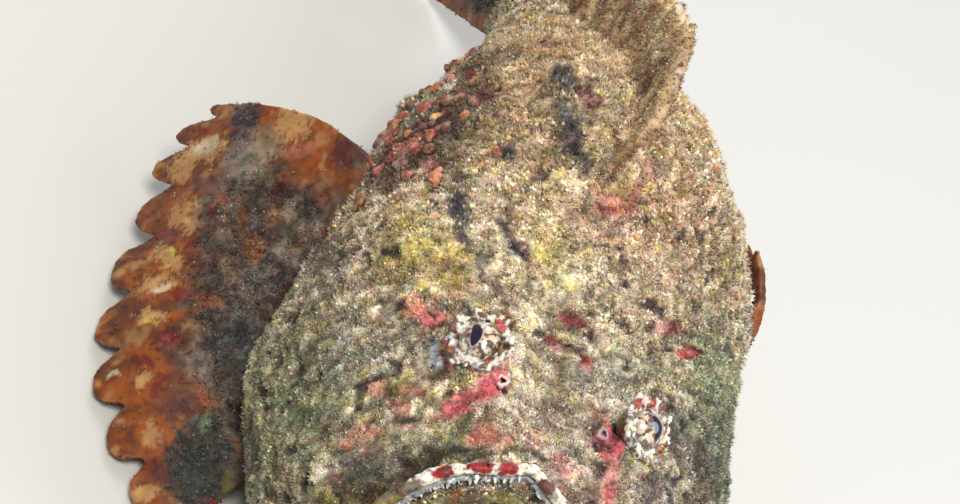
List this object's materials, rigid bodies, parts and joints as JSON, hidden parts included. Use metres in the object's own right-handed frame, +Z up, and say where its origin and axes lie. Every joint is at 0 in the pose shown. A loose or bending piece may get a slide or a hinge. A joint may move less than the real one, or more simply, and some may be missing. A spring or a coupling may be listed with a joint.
{
  "type": "stonefish model",
  "caption": "Life-size still model of a reef stonefish resting on its belly, broad warty head and upturned fringed mouth, one fan-shaped side fin spread on the floor.",
  "frame": {"origin": "on the floor, under the middle of the box round the whole fish", "axes": "+Z up, -Y the way the fish looks, +X the fish's left"},
  "size_m": [0.1718, 0.3046, 0.1162],
  "materials": {
    "skin": "rough warty skin under a thin coat of algae",
    "jaw": "rough, a little damp",
    "fin": "damp skin between fleshy rays",
    "tail": "rough warty skin",
    "eye": "wet and glossy"
  },
  "bodies": {
    "root": {"head": "skin", "lower_jaw": "jaw", "eye_left": "eye", "eye_right": "eye", "trunk": "skin", "tail_stock": "tail", "dorsal_fin_spiny": "skin", "dorsal_fin_soft": "fin", "anal_fin": "fin", "caudal_fin": "fin", "pectoral_fin_left": "fin", "pectoral_fin_right": "fin", "pelvic_fin_left": "fin", "pelvic_fin_right": "fin"}
  },
  "joints": []
}
